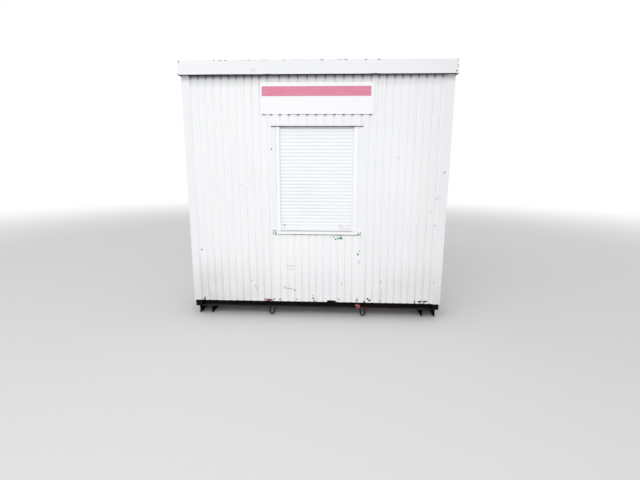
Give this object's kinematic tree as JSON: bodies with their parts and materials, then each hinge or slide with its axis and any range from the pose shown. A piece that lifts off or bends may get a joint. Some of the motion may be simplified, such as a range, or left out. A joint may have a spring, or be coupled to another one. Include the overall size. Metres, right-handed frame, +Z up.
{
  "type": "portable site cabin",
  "caption": "White ribbed-steel site cabin on a skid base, with a shuttered window under a sign board in one end, a door in the other and a folded fascia round the roof.",
  "frame": {"origin": "middle of the footprint, on the ground under the skids", "axes": "+Z up, +Y along the cabin from the window end to the door end, +X across to the right as seen from the window end"},
  "size_m": [3.06, 6.06, 2.931],
  "materials": {
    "wall_paint": "white coil-coated ribbed steel sheet, a little dirty",
    "trim_paint": "white folded steel trim over an older green coat",
    "roof_paint": "grey-white trapezoid roof sheet",
    "base_steel": "dark paint on rolled steel, with rust",
    "shutter": "white shutter slats",
    "guide": "white coated channel",
    "window_plastic": "white window profile",
    "glazing": "clear double glazing",
    "sign_face": "white board with a plain pink-red band",
    "floor_board": "coated plywood",
    "lining": "pale lining board",
    "handle_metal": "satin lever and plate"
  },
  "bodies": {
    "root": {"ceiling_panel": "lining", "corner_feet": "base_steel", "corner_post_front_left": "trim_paint", "corner_post_front_right": "trim_paint", "corner_post_rear_left": "trim_paint", "corner_post_rear_right": "trim_paint", "door_frame": "trim_paint", "door_handle": "handle_metal", "door_hinges": "trim_paint", "door_leaf": "trim_paint", "door_threshold": "trim_paint", "fascia_front": "trim_paint", "fascia_left": "trim_paint", "fascia_rear": "trim_paint", "fascia_right": "trim_paint", "floor_deck": "floor_board", "floor_joists": "base_steel", "front_rail": "base_steel", "front_wall_above_window": "wall_paint", "front_wall_below_window": "wall_paint", "front_wall_left": "wall_paint", "front_wall_right": "wall_paint", "left_rail": "base_steel", "left_wall": "wall_paint", "rear_rail": "base_steel", "rear_wall_above_door": "wall_paint", "rear_wall_left": "wall_paint", "rear_wall_right": "wall_paint", "right_rail": "base_steel", "right_wall": "wall_paint", "roof_sheet": "roof_paint", "shutter_bottom_bar": "shutter", "shutter_box": "window_plastic", "shutter_curtain": "shutter", "shutter_guides": "guide", "sign_board": "sign_face", "sill_caps": "trim_paint", "skid_left": "base_steel", "skid_right": "base_steel", "towing_eyes": "base_steel", "window_frame": "window_plastic", "window_glass": "glazing", "window_head_flashing": "trim_paint", "window_jambs": "trim_paint", "window_sill": "trim_paint"}
  },
  "joints": []
}
